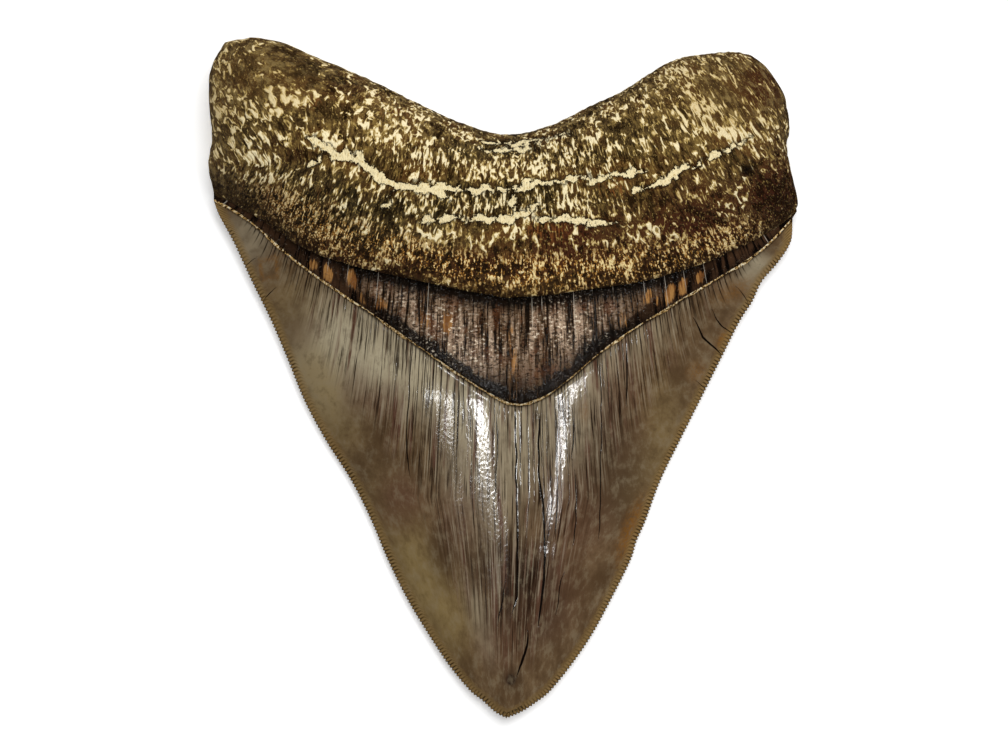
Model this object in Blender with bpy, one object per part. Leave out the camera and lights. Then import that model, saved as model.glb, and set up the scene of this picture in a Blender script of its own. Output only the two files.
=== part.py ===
"""A fossil megalodon tooth, lying on its flat labial face with the domed lingual face up.

The tooth is one solid. Its outline is drawn in plan: two serrated cutting edges that meet at
the tip (-Y), and a two-lobed root (+Y). Rows of points run from the left edge to the right one,
first over the crown, then over the bourlette (the dark neck band) and the root. Every row is
lifted twice, once for the domed upper face and once for the flat under face, and both faces
close on the same rim. Lengths are millimetres until the mesh is made.
"""
import math

import bmesh
import bpy
import numpy as np
from mathutils import Vector, noise

MM = 0.001

# ---------------------------------------------------------------- driving dimensions
CREST_HEIGHT = 28.3         # crest of the root's swelling above the neck
CREST_SAG = 0.34            # share of it lost towards the lobes' ends
CROWN_BASE_HEIGHT = 21.0    # lingual face where the enamel stops, on the middle line
CROWN_BASE_Y = -4.8
CROWN_CLIMB = 0.72          # power of its rise from the tip: under 1, so steeper near the tip
NECK_CLIMB = 0.12           # share of its rise that the neck adds ...
NECK_EASE = 10.0            # ... and the length over which that rise eases off
CROWN_ROUND = 2.1           # power of its section: 2 is a parabola, more is flatter on top
TIP_BEVEL = 1.7             # how far above the tip the domed face starts
EDGE_LOW = 1.6              # cutting edge above the ground where it is lowest ...
EDGE_LOW_POINT = 0.45       # ... at this share of its length ...
EDGE_TIP_RISE = 1.2         # ... and how much it rises to the tip ...
EDGE_SHOULDER_RISE = 1.8    # ... and to the shoulder
SHOULDER_HEIGHT = EDGE_LOW + EDGE_SHOULDER_RISE
ROOT_SIDE_HEIGHT = 6.5      # widest level of the root's rounded ends
ROOT_NOTCH_HEIGHT = 9.5     # rim level at the bottom of the notch between the lobes
ROOT_SWELL = 0.45           # share of the root's width in which it swells up to its crest
ROOT_BACK_ROUND = 3.4       # power of its fall from there to the rim at the top ...
ROOT_END_ROUND = 4          # ... and to the rounded ends
NOTCH_RISE = 3              # power of the rim's rise from the ends to the notch
SERRATION_PITCH = 0.69      # 14 to 15 serrations a centimetre
SERRATION_DEPTH = 0.32
BLADE_BEVEL = 1.3           # width of the strip that carries the serrations ...
BEVEL_RUN_OUT = 1 / 12      # ... and the share of the edge in which it narrows to the shoulder
ENAMEL_LIP = 0.55           # step from the enamel down to the bourlette ...
LIP_WIDTH = 0.35            # ... and the slant it comes down on
LEDGE_DROP = 1.4            # step from the root's edge down to the bourlette
LEDGE_OVERHANG = 0.5
STEP_SQUARENESS = 8         # both steps run out at the shoulders, by this power across
LABIAL_BEVEL_DROP = 0.35    # how far the under face starts below the cutting edge
LABIAL_HOLLOW = 1.3         # how far the under face lifts off the ground between its rests
LABIAL_TIP_RUN = 1 / 9      # share of the crown in which the hollow sets in above the tip
HOLLOW_SQUARENESS = 6       # power of its run-out to the crown's edges ...
PAD_SQUARENESS = (10, 7)    # ... and to the root's ends and top
REST_FULLNESS = 1.65        # over 1 the rests are cut flat by the ground
LUMP_HEIGHT = 0.35
LUMP_SIZE = 7.0
LUMP_SEED = 1.7
LUMP_RUN_OUT = 6            # power of the lumps' run-out to the root's rim

# Points a row has, how evenly they are spaced, rows a zone has, serrations a crown row spans.
COLUMNS = 34
EVENNESS = 0.7              # under 1 brings the points closer together near both rims
SERRATIONS_A_ROW = 4
BOURLETTE_ROWS = 4
ROOT_ROWS = 13

# ---------------------------------------------------------------- plan outline
TIP = (0.5, -64.6)
LEFT_SHOULDER = (-55.1, 34.0)
RIGHT_SHOULDER = (55.0, 30.4)
LEFT_NECK = (-55.1, 35.6)
RIGHT_NECK = (55.8, 32.5)
LEFT_CORNER = (-52.7, 63.8)
RIGHT_CORNER = (50.6, 58.0)

LEFT_EDGE = [TIP, (-1.8, -63.3), (-4.1, -61.2), (-6.5, -59.3), (-10.5, -54.5), (-14.3, -48.8),
             (-18.3, -42.2), (-22.1, -34.6), (-25.3, -27.0), (-29.1, -19.4), (-33.9, -11.8),
             (-38.0, -4.2), (-41.1, 3.4), (-44.3, 11.0), (-48.0, 18.6), (-51.5, 26.2),
             (-54.1, 31.2), LEFT_SHOULDER]
RIGHT_EDGE = [TIP, (3.6, -63.3), (6.8, -61.2), (9.1, -59.3), (13.0, -54.5), (16.9, -48.8),
              (20.5, -42.2), (24.3, -34.6), (25.5, -30.8), (27.2, -27.0), (30.0, -19.4),
              (33.7, -11.8), (37.5, -4.2), (41.3, 3.4), (45.1, 11.0), (47.5, 14.8),
              (49.3, 18.6), (52.4, 22.3), (54.7, 26.2), RIGHT_SHOULDER]
LEFT_END = [LEFT_NECK, (-56.0, 40.7), (-55.2, 45.6), (-55.7, 52.4), (-55.5, 58.5), LEFT_CORNER]
RIGHT_END = [RIGHT_NECK, (55.9, 34.2), (54.4, 40.0), (53.6, 44.1), (54.1, 47.5), (53.3, 53.3),
             RIGHT_CORNER]
ROOT_TOP = [LEFT_CORNER, (-47.4, 64.6), (-42.1, 63.7), (-36.4, 61.3), (-26.1, 56.9),
            (-15.5, 51.7), (-7.5, 48.1), (0.5, 46.1), (8.5, 47.7), (16.4, 51.5), (21.8, 54.0),
            (27.1, 57.4), (32.4, 60.3), (37.7, 61.4), (44.6, 61.8), (48.4, 60.2), RIGHT_CORNER]

# Where the enamel stops on the lingual face, and where the root's ledge starts above it.
ENAMEL_LINE = [LEFT_SHOULDER, (-51.0, 31.8), (-46.6, 28.6), (-37.7, 21.1), (-24.0, 11.7),
               (-7.4, 0.2), (-0.7, -3.8), (2.4, -4.8), (5.2, -4.3), (10.1, -1.8), (19.9, 6.3),
               (32.5, 14.3), (47.0, 23.0), RIGHT_SHOULDER]
ROOT_LEDGE = [LEFT_NECK, (-51.7, 33.9), (-45.3, 29.9), (-37.7, 24.8), (-29.7, 21.7), (-18.1, 18.8),
              (-1.6, 15.3), (2.9, 15.2), (11.9, 16.0), (29.7, 19.1), (43.2, 24.3), (51.0, 28.6),
              RIGHT_NECK]
# On the labial face the enamel reaches higher, in a shallow bow.
LABIAL_LINE = [LEFT_SHOULDER, (-44.0, 30.0), (-24.0, 23.5), (0.5, 19.0), (24.0, 22.5),
               (44.0, 27.0), RIGHT_SHOULDER]
LABIAL_NECK_WIDTH = 2.0

# The under face rests on three flats: (across -1..1, along the zone 0..1) and their reach.
CROWN_REST = (0.0, 0.42)
CROWN_REST_REACH = (0.75, 0.26)
LOBE_REST = (0.60, 0.42)
LOBE_REST_REACH = (0.34, 0.42)


def smooth_curve(points, steps=24):
    """Return at(t), the place at share t of the length of a smooth line through the points."""
    knots = np.array(points, dtype=float)
    padded = np.vstack([2 * knots[0] - knots[1], knots, 2 * knots[-1] - knots[-2]])
    s = np.linspace(0, 1, steps, endpoint=False)[:, None]
    spans = []
    for a, b, c, d in zip(padded, padded[1:], padded[2:], padded[3:]):
        spans.append(b + s * (c - a) / 2 + s**2 * (a - 2.5 * b + 2 * c - d / 2)
                     + s**3 * (1.5 * (b - c) + (d - a) / 2))
    line = np.vstack(spans + [knots[-1:]])
    length = np.append(0, np.cumsum(np.linalg.norm(np.diff(line, axis=0), axis=1)))
    share = length / length[-1]

    def at(t):
        return np.stack([np.interp(t, share, line[:, k]) for k in (0, 1)], axis=-1)

    at.length = length[-1]
    at.line = line
    at.share = share
    return at


def run_out(t):
    """1 along the cutting edge, falling to nothing at its upper end."""
    return np.clip((1 - t) / BEVEL_RUN_OUT, 0, 1)


def inset(edge, width, inward, nearby=0.004):
    """Return the edge moved in by width, running out to nothing at its upper end."""
    def at(t):
        t = np.asarray(t, dtype=float)
        ahead = edge(np.minimum(t + nearby, 1)) - edge(np.maximum(t - nearby, 0))
        ahead = ahead / np.linalg.norm(ahead, axis=-1, keepdims=True)
        normal = np.stack([-ahead[..., 1], ahead[..., 0]], axis=-1) * inward
        return edge(t) + normal * (width * run_out(t))[..., None]
    return at


def patch(start, end, left, right, along, across):
    """Fill the four-sided field between the curves with len(along) rows of len(across) points."""
    t = along[:, None, None]
    u = across[None, :, None]
    straight = (1 - t) * start(across)[None] + t * end(across)[None]
    left_shift = left(along)[:, None] - ((1 - t) * start(0.0) + t * end(0.0))
    right_shift = right(along)[:, None] - ((1 - t) * start(1.0) + t * end(1.0))
    return straight + (1 - u) * left_shift + u * right_shift


def lifted(plan, height):
    """Join the plan points and their heights."""
    return np.concatenate([plan, height[..., None]], axis=-1)


def shifted(curve, offset):
    """Return the curve moved along Y by offset(across)."""
    def at(u):
        u = np.asarray(u, dtype=float)
        return curve(u) + np.stack([np.zeros_like(u), offset(2 * u - 1)], axis=-1)
    return at


def between(a, b):
    """Return the straight line from a to b as a curve."""
    def at(t):
        t = np.asarray(t, dtype=float)[..., None]
        return (1 - t) * np.asarray(a) + t * np.asarray(b)
    return at


def lumps(plan):
    """Smooth lumps of worn bone, from -1 to 1."""
    flat = plan.reshape(-1, 2) / LUMP_SIZE
    values = [noise.noise(Vector((*p, LUMP_SEED))) for p in flat]
    return np.array(values).reshape(plan.shape[:-1])


# ---------------------------------------------------------------- curves in plan
left_edge = smooth_curve(LEFT_EDGE)
right_edge = smooth_curve(RIGHT_EDGE)
left_end = smooth_curve(LEFT_END)
right_end = smooth_curve(RIGHT_END)
root_top = smooth_curve(ROOT_TOP)
enamel_line = smooth_curve(ENAMEL_LINE)
root_ledge = smooth_curve(ROOT_LEDGE)
labial_line = smooth_curve(LABIAL_LINE)

serrations = int(round((left_edge.length + right_edge.length) / 2 / SERRATION_PITCH))
serrations -= serrations % SERRATIONS_A_ROW
crown_t = np.linspace(0, 1, serrations // SERRATIONS_A_ROW + 1)
bourlette_t = np.linspace(0, 1, BOURLETTE_ROWS)
root_t = np.sin(np.linspace(0, 1, ROOT_ROWS) * math.pi / 2)
even = np.linspace(-1, 1, COLUMNS + 1)
across = EVENNESS * even + (1 - EVENNESS) * np.sin(even * math.pi / 2)
share = (across + 1) / 2


# ---------------------------------------------------------------- heights
def edge_height(t):
    """Cutting edge above the ground at share t of its length, lowest near the middle."""
    t = np.asarray(t, dtype=float)
    to_tip = np.clip(1 - t / EDGE_LOW_POINT, 0, 1)
    to_shoulder = np.clip((t - EDGE_LOW_POINT) / (1 - EDGE_LOW_POINT), 0, 1)
    return EDGE_LOW + EDGE_TIP_RISE * to_tip**2 + EDGE_SHOULDER_RISE * to_shoulder**2


def edge_level(y):
    """Height of the cutting edges at each level of the crown."""
    return np.interp(y, left_edge.line[:, 1], edge_height(left_edge.share))


def dome_height(plan):
    """Lingual face of crown and neck: rounded across every level, and rising to the root."""
    x, y = plan[..., 0], plan[..., 1]
    left = np.interp(y, left_edge.line[:, 1], left_edge.line[:, 0])
    right = np.interp(y, right_edge.line[:, 1], right_edge.line[:, 0])
    off_centre = np.clip(np.abs(2 * x - left - right) / (right - left), 0, 1)
    climb = np.clip((y - TIP[1]) / (CROWN_BASE_Y - TIP[1]), 0, 1)**CROWN_CLIMB
    climb += NECK_CLIMB * (1 - np.exp(-np.clip(y - CROWN_BASE_Y, 0, None) / NECK_EASE))
    return (CROWN_BASE_HEIGHT - SHOULDER_HEIGHT) * climb * (1 - off_centre**CROWN_ROUND)


def between_shoulders(u):
    """1 across the tooth, falling to nothing at both shoulders."""
    return 1 - u**STEP_SQUARENESS


def ledge_height(u):
    """Height of the root's lower edge on the lingual face."""
    dome = dome_height(root_ledge((u + 1) / 2))
    return SHOULDER_HEIGHT + dome + LEDGE_DROP * between_shoulders(u)


def root_rim_height(t, u):
    """Rim of the root: along its rounded ends, and along the notched top between the lobes."""
    end = SHOULDER_HEIGHT + (ROOT_SIDE_HEIGHT - SHOULDER_HEIGHT) * np.sin(t * math.pi / 2)
    return end + (ROOT_NOTCH_HEIGHT - ROOT_SIDE_HEIGHT) * (1 - u**2) * t**NOTCH_RISE


def root_crest(u):
    """Height of the root's swelling, from end to end."""
    rise = CREST_HEIGHT - ROOT_SIDE_HEIGHT
    return ROOT_SIDE_HEIGHT + rise * (1 - CREST_SAG * u**2) * np.sqrt(1 - u**ROOT_END_ROUND)


def floor_height(across_rest, along_rest, reach):
    """Under face round one rest: below the ground within it, where it is later cut flat."""
    rest = REST_FULLNESS - (across_rest / reach[0])**2 - (along_rest / reach[1])**2
    return LABIAL_HOLLOW * (1 - np.maximum(rest, 0))


# ---------------------------------------------------------------- the two faces
def lingual_rows():
    """Rows of the upper face, from the tip to the root's top."""
    u = across[None, :]
    blade_left = inset(left_edge, BLADE_BEVEL, -1)
    blade_right = inset(right_edge, BLADE_BEVEL, 1)
    tip = np.array(TIP) + (0, TIP_BEVEL)
    plan = patch(between(tip, tip), enamel_line, blade_left, blade_right, crown_t, share)
    crown = lifted(plan, edge_level(plan[..., 1]) + dome_height(plan))

    # The neck: down off the enamel, up the bourlette, and in under the root's ledge.
    enamel_foot = shifted(enamel_line, lambda u: LIP_WIDTH + 0 * u)
    ledge_foot = shifted(root_ledge, lambda u: LEDGE_OVERHANG * (1 - 2 * np.abs(u)**3))
    plan = patch(enamel_foot, ledge_foot, between(enamel_foot(0.0), ledge_foot(0.0)),
                 between(enamel_foot(1.0), ledge_foot(1.0)), bourlette_t, share)
    step = ENAMEL_LIP * between_shoulders(u) * (1 - bourlette_t[:, None])
    bourlette = lifted(plan, SHOULDER_HEIGHT + dome_height(plan) - step)

    plan = patch(root_ledge, root_top, left_end, right_end, root_t, share)
    t = root_t[:, None]
    rim = root_rim_height(t, u)
    swell = np.sin(np.clip(t / ROOT_SWELL, 0, 1) * math.pi / 2)
    lip = ledge_height(u)
    body = lip + (root_crest(u) - lip) * swell
    height = rim + (body - rim) * np.sqrt(1 - t**ROOT_BACK_ROUND)
    away_from_rim = (1 - u**LUMP_RUN_OUT) * (1 - t**LUMP_RUN_OUT)
    height += LUMP_HEIGHT * away_from_rim * lumps(plan)
    return np.concatenate([crown, bourlette, lifted(plan, height)])


def labial_rows():
    """Rows of the under face. They end on the same rim points as the upper face's rows."""
    u = across[None, :]
    blade_left = inset(left_edge, BLADE_BEVEL, -1)
    blade_right = inset(right_edge, BLADE_BEVEL, 1)
    tip = np.array(TIP) + (0, TIP_BEVEL)
    plan = patch(between(tip, tip), labial_line, blade_left, blade_right, crown_t, share)
    t = crown_t[:, None]
    level = edge_height(t) - LABIAL_BEVEL_DROP * run_out(t)
    floor = floor_height(u - CROWN_REST[0], t - CROWN_REST[1], CROWN_REST_REACH)
    sink = (1 - u**HOLLOW_SQUARENESS) * np.clip(t / LABIAL_TIP_RUN, 0, 1)
    crown = lifted(plan, np.maximum(level + (floor - level) * sink, 0))

    rim_rows = lingual_rows()[len(crown_t):len(crown_t) + BOURLETTE_ROWS]
    neck_top = shifted(labial_line, lambda u: LABIAL_NECK_WIDTH + 0 * u)
    neck_foot = shifted(labial_line, lambda u: LIP_WIDTH + 0 * u)
    t = np.linspace(0, 0.8, BOURLETTE_ROWS)
    plan = patch(neck_foot, neck_top, between(neck_foot(0.0), neck_top(0.0)),
                 between(neck_foot(1.0), neck_top(1.0)), t, share)
    neck = lifted(plan, np.repeat(crown[-1:, :, 2], BOURLETTE_ROWS, axis=0))
    neck[:, 0] = rim_rows[:, 0]
    neck[:, -1] = rim_rows[:, -1]

    plan = patch(neck_top, root_top, left_end, right_end, root_t, share)
    plan[0, 0] = root_ledge(0.0)
    plan[0, -1] = root_ledge(1.0)
    t = root_t[:, None]
    rim = root_rim_height(t, u)
    floor = floor_height(np.abs(u) - LOBE_REST[0], t - LOBE_REST[1], LOBE_REST_REACH)
    sink = np.sqrt(1 - u**PAD_SQUARENESS[0]) * np.sqrt(1 - t**PAD_SQUARENESS[1])
    root = lifted(plan, np.maximum(rim + (floor - rim) * sink, 0))
    return np.concatenate([crown, neck, root])


# ---------------------------------------------------------------- the solid
class Solid:
    """Vertices and faces of the tooth while it is put together."""

    def __init__(self):
        self.places = []
        self.faces = []

    def vertex(self, place):
        self.places.append(tuple(place))
        return len(self.places) - 1

    def face(self, corners, upward):
        """Add a face whose corners run anticlockwise as seen from above."""
        if len(set(corners)) == len(corners):
            self.faces.append(corners if upward else corners[::-1])


def serrated_edge(solid, edge, inward, last):
    """Vertices of one cutting edge, tooth by tooth, from above the tip up to the shoulder."""
    notch = inset(edge, SERRATION_DEPTH, inward)
    ids = []
    for step in range(1, 2 * serrations):
        t = step / (2 * serrations)
        place = notch(t) if step % 2 else edge(t)
        ids.append(solid.vertex((*place, edge_height(t))))
    return ids + [last]


def face_rows(solid, rows, row_ends, top):
    """Number the rows' points, taking those on the rim from the vertices already made."""
    ids = [[solid.vertex(rows[0, 0])] * (COLUMNS + 1)]
    for i in range(1, len(rows) - 1):
        inner = [solid.vertex(p) for p in rows[i, 1:-1]]
        first, last = row_ends.get(i) or (solid.vertex(rows[i, 0]), solid.vertex(rows[i, -1]))
        ids.append([first, *inner, last])
    return ids + [top]


def close_face(solid, ids, left, right, upward):
    """Fill between the rows, and between the crown's rows and the serrated edges."""
    for low, high in zip(ids, ids[1:]):
        for j in range(COLUMNS):
            if low[j] == low[j + 1]:
                solid.face([low[j], high[j + 1], high[j]], upward)
            else:
                solid.face([low[j], low[j + 1], high[j + 1], high[j]], upward)
    span = 2 * SERRATIONS_A_ROW
    for edge, column, outward in ((left, 0, upward), (right, COLUMNS, not upward)):
        for i in range(len(crown_t) - 1):
            rim = edge[i * span:(i + 1) * span + 1]
            low, high = ids[i][column], ids[i + 1][column]
            for a, b in zip(rim[:span // 2], rim[1:]):
                solid.face([a, low, b], outward)
            solid.face([rim[span // 2], low, high], outward)
            for a, b in zip(rim[span // 2:], rim[span // 2 + 1:]):
                solid.face([a, high, b], outward)


def build_tooth():
    """Return the tooth's solid: both faces on one rim."""
    solid = Solid()
    upper = lingual_rows()
    lower = labial_rows()
    shoulder = len(crown_t) - 1
    row_ends = {}
    for i in range(shoulder, len(upper) - 1):
        row_ends[i] = (solid.vertex(upper[i, 0]), solid.vertex(upper[i, -1]))
    top = [solid.vertex(p) for p in upper[-1]]
    tip = solid.vertex((*TIP, edge_height(0.0)))
    left = [tip] + serrated_edge(solid, left_edge, -1, row_ends[shoulder][0])
    right = [tip] + serrated_edge(solid, right_edge, 1, row_ends[shoulder][1])
    close_face(solid, face_rows(solid, upper, row_ends, top), left, right, True)
    close_face(solid, face_rows(solid, lower, row_ends, top), left, right, False)
    return solid


def tooth_material():
    """Fossil enamel and bone: mid brown, satin."""
    material = bpy.data.materials.new("fossil tooth")
    material.use_nodes = True
    shader = material.node_tree.nodes["Principled BSDF"]
    shader.inputs["Base Color"].default_value = (0.125, 0.086, 0.051, 1.0)
    shader.inputs["Roughness"].default_value = 0.38
    shader.inputs["Metallic"].default_value = 0.0
    material.diffuse_color = (0.125, 0.086, 0.051, 1.0)
    return material


def main():
    for old in list(bpy.data.objects):
        bpy.data.objects.remove(old, do_unlink=True)

    solid = build_tooth()
    places = np.array(solid.places)
    low, high = places.min(axis=0), places.max(axis=0)
    places -= ((low[0] + high[0]) / 2, (low[1] + high[1]) / 2, low[2])

    mesh = bpy.data.meshes.new("megalodon_tooth")
    mesh.from_pydata((places * MM).tolist(), [], solid.faces)
    shaped = bmesh.new()
    shaped.from_mesh(mesh)
    bmesh.ops.triangulate(shaped, faces=shaped.faces, quad_method="BEAUTY")
    shaped.to_mesh(mesh)
    shaped.free()
    mesh.materials.append(tooth_material())
    tooth = bpy.data.objects.new("megalodon_tooth", mesh)
    bpy.context.collection.objects.link(tooth)


main()
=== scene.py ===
import functools
import math

import bpy
import numpy as np
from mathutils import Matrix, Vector, noise


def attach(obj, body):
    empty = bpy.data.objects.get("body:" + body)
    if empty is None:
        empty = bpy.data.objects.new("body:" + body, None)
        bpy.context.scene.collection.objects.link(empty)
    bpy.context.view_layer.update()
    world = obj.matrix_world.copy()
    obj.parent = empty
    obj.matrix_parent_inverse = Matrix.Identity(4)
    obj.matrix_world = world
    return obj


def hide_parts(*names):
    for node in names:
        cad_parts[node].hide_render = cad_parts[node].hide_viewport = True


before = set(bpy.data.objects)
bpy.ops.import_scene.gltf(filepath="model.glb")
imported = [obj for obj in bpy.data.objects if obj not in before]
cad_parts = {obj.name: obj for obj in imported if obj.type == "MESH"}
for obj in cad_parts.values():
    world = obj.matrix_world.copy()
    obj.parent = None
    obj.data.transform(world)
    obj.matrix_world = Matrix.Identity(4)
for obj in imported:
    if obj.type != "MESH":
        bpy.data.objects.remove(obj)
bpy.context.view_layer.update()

MM = 0.001


# ======================================== plan of the tooth
# The real tooth is one growth: a flat triangular crown, a dark neck band (the bourlette) and a
# two-lobed root. Here its outline is drawn in plan, in millimetres, with the tip at -Y, and rows
# of points cross it from the left rim to the right one, first over the crown, then up the root.
SERRATION_PITCH = 0.69
SERRATION_GROUP = 4  # each cutting edge has a whole number of groups of this many
CURVE_STEPS = 40  # points of a smooth line from one of its knots to the next
COLUMNS = 240
EVENNESS = 0.7  # under 1 brings the columns closer together near both rims

TIP = (0.5, -64.6)
LEFT_SHOULDER = (-55.1, 34)
RIGHT_SHOULDER = (55, 30.4)
LEFT_NECK = (-55.1, 35.6)
RIGHT_NECK = (55.8, 32.5)
LEFT_CORNER = (-52.7, 63.8)
RIGHT_CORNER = (50.6, 58)
LEFT_EDGE = [TIP, (-1.8, -63.3), (-4.1, -61.2), (-6.5, -59.3), (-10.5, -54.5), (-14.3, -48.8),
             (-18.3, -42.2), (-22.1, -34.6), (-25.3, -27), (-29.1, -19.4), (-33.9, -11.8),
             (-38, -4.2), (-41.1, 3.4), (-44.3, 11), (-48, 18.6), (-51.5, 26.2), (-54.1, 31.2),
             LEFT_SHOULDER]
RIGHT_EDGE = [TIP, (3.6, -63.3), (6.8, -61.2), (9.1, -59.3), (13, -54.5), (16.9, -48.8),
              (20.5, -42.2), (24.3, -34.6), (25.5, -30.8), (27.2, -27), (30, -19.4), (33.7, -11.8),
              (37.5, -4.2), (41.3, 3.4), (45.1, 11), (47.5, 14.8), (49.3, 18.6), (52.4, 22.3),
              (54.7, 26.2), RIGHT_SHOULDER]
LEFT_END = [LEFT_NECK, (-56, 40.7), (-55.2, 45.6), (-55.7, 52.4), (-55.5, 58.5), LEFT_CORNER]
RIGHT_END = [RIGHT_NECK, (55.9, 34.2), (54.4, 40), (53.6, 44.1), (54.1, 47.5), (53.3, 53.3),
             RIGHT_CORNER]
ROOT_TOP = [LEFT_CORNER, (-47.4, 64.6), (-42.1, 63.7), (-36.4, 61.3), (-26.1, 56.9), (-15.5, 51.7),
            (-7.5, 48.1), (0.5, 46.1), (8.5, 47.7), (16.4, 51.5), (21.8, 54), (27.1, 57.4),
            (32.4, 60.3), (37.7, 61.4), (44.6, 61.8), (48.4, 60.2), RIGHT_CORNER]
ENAMEL_LINE = [LEFT_SHOULDER, (-51, 31.8), (-46.6, 28.6), (-37.7, 21.1), (-24, 11.7), (-7.4, 0.2),
               (-0.7, -3.8), (2.4, -4.8), (5.2, -4.3), (10.1, -1.8), (19.9, 6.3), (32.5, 14.3),
               (47, 23), RIGHT_SHOULDER]
ROOT_LEDGE = [LEFT_NECK, (-51.7, 33.9), (-45.3, 29.9), (-37.7, 24.8), (-29.7, 21.7), (-18.1, 18.8),
              (-1.6, 15.3), (2.9, 15.2), (11.9, 16), (29.7, 19.1), (43.2, 24.3), (51, 28.6),
              RIGHT_NECK]
LABIAL_LINE = [LEFT_SHOULDER, (-44, 30), (-24, 23.5), (0.5, 19), (24, 22.5), (44, 27),
               RIGHT_SHOULDER]


def smooth_curve(points):
    """Return at(t), the place at share t of the length of a smooth line through the points."""
    knots = np.array(points, dtype=float)
    padded = np.vstack([2 * knots[0] - knots[1], knots, 2 * knots[-1] - knots[-2]])
    s = np.linspace(0, 1, CURVE_STEPS, endpoint=False)[:, None]
    spans = []
    for a, b, c, d in zip(padded, padded[1:], padded[2:], padded[3:]):
        spans.append(b + s * (c - a) / 2 + s**2 * (a - 2.5 * b + 2 * c - d / 2)
                     + s**3 * (1.5 * (b - c) + (d - a) / 2))
    line = np.vstack(spans + [knots[-1:]])
    length = np.append(0, np.cumsum(np.linalg.norm(np.diff(line, axis=0), axis=1)))
    share = length / length[-1]

    def at(t):
        return np.stack([np.interp(t, share, line[:, k]) for k in (0, 1)], axis=-1)

    at.length = length[-1]
    at.line = line
    at.share = share
    return at


def columns(count):
    """Shares across the tooth, closer together near both rims, and the same from -1 to 1."""
    even = np.linspace(-1, 1, count + 1)
    u = EVENNESS * even + (1 - EVENNESS) * np.sin(even * math.pi / 2)
    return (u + 1) / 2, u


left_edge, right_edge, left_end, right_end, root_top, enamel_line, root_ledge, labial_line = [
    smooth_curve(points) for points in (LEFT_EDGE, RIGHT_EDGE, LEFT_END, RIGHT_END, ROOT_TOP,
                                        ENAMEL_LINE, ROOT_LEDGE, LABIAL_LINE)]
edge_length = (left_edge.length + right_edge.length) / 2
serrations = SERRATION_GROUP * (int(round(edge_length / SERRATION_PITCH)) // SERRATION_GROUP)
crown_t = np.linspace(0, 1, serrations + 1)
share, across = columns(COLUMNS)


# ======================================== root
# Porous bone, the part that sat in the gum. It swells into a thick pad over the neck and runs out
# in two rounded lobes. Its fibres stand across the pad, worn into short grooves and pits.
ROOT_ROWS = 84
SHOULDER_HEIGHT = 3.4
SIDE_HEIGHT = 6.5  # rim of the root at its ends ...
NOTCH_HEIGHT = 9.5  # ... and in the notch between the lobes
NOTCH_RISE = 3  # power of its rise from the one to the other
CREST_HEIGHT = 28.3
CREST_SAG = 0.34  # share of the crest lost towards the lobes
END_ROUND = 4  # power of the root's fall to its ends ...
BACK_ROUND = 3.4  # ... and from the crest to the rim at the top
SWELL = 0.45  # share of the root's width in which it swells up to the crest
LEDGE_DROP = 1.4
LEDGE_OVERHANG = 0.5
STEP_SQUARENESS = 8  # power by which the neck's steps run out at the shoulders
CROWN_BASE_HEIGHT = 21.0  # dome over the middle line, where the enamel stops ...
CROWN_BASE_Y = -4.8
CROWN_CLIMB = 0.72  # ... power of its rise from the tip ...
NECK_CLIMB = 0.12  # ... share of its rise that the neck adds ...
NECK_EASE = 10  # ... length over which that rise eases off ...
CROWN_ROUND = 2.1  # ... and power of its section across
FAN_Y = 34  # level from which the fibres fan out ...
FAN_RATE = 0.013  # ... and how fast
LOBE_X = -36  # left of here they lie over ...
LOBE_BLEND = 8  # ... coming in over this width ...
LOBE_LEAN = 1.5  # ... by this much
LEAN_FROM = 40  # the lean starts at this level ...
LEAN_OVER = 30  # ... and stops growing this much higher up
RELIEF_RUN_OUT = 6  # power by which relief fades towards the rim

# Relief, here and below: height, size across and along, and seed of each noise.
ROOT_LUMPS = [(0.35, 7.0, 7.0, 1.7), (0.2, 2.6, 2.6, 4.1)]
ROOT_GROOVES = (0.16, 1.1, 3.6, 9.3)
ROOT_PITS = (0.30, 1.3, 2.6, 12.9)
PIT_LEVEL = 0.22  # noise over this is a pit
root_t = np.sin(np.linspace(0, 1, ROOT_ROWS) * math.pi / 2)


def patch(start, end, left, right, along, across):
    """Fill the four-sided field between the curves with len(along) rows of len(across) points."""
    t = along[:, None, None]
    u = across[None, :, None]
    straight = (1 - t) * start(across)[None] + t * end(across)[None]
    left_shift = left(along)[:, None] - ((1 - t) * start(0.0) + t * end(0.0))
    right_shift = right(along)[:, None] - ((1 - t) * start(1.0) + t * end(1.0))
    return straight + (1 - u) * left_shift + u * right_shift


def lifted(plan, height):
    """Join the plan points and their heights."""
    return np.concatenate([plan, height[..., None]], axis=-1)


def grainy(x, y, size_x, size_y, seed):
    """Smooth noise from -1 to 1 with lumps of the given size across and along."""
    flat = np.stack([x / size_x, y / size_y], axis=-1).reshape(-1, 2)
    values = [noise.noise(Vector((a, b, seed))) for a, b in flat]
    return np.array(values).reshape(x.shape)


def relief_of(x, y, *noises):
    """Sum of the noises, each times its height."""
    return sum(height * grainy(x, y, *rest) for height, *rest in noises)


def pushed(rows, relief):
    """Move the rows' points out along the face's own normal by relief, in millimetres."""
    normal = np.cross(np.gradient(rows, axis=1), np.gradient(rows, axis=0))
    normal /= np.maximum(np.linalg.norm(normal, axis=-1, keepdims=True), 1e-9)
    return rows + normal * relief[..., None]


def root_rim_height(t, u):
    """Rim of the root: along its rounded ends, and along the notched top between the lobes."""
    end = SHOULDER_HEIGHT + (SIDE_HEIGHT - SHOULDER_HEIGHT) * np.sin(t * math.pi / 2)
    return end + (NOTCH_HEIGHT - SIDE_HEIGHT) * (1 - u**2) * t**NOTCH_RISE


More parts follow.
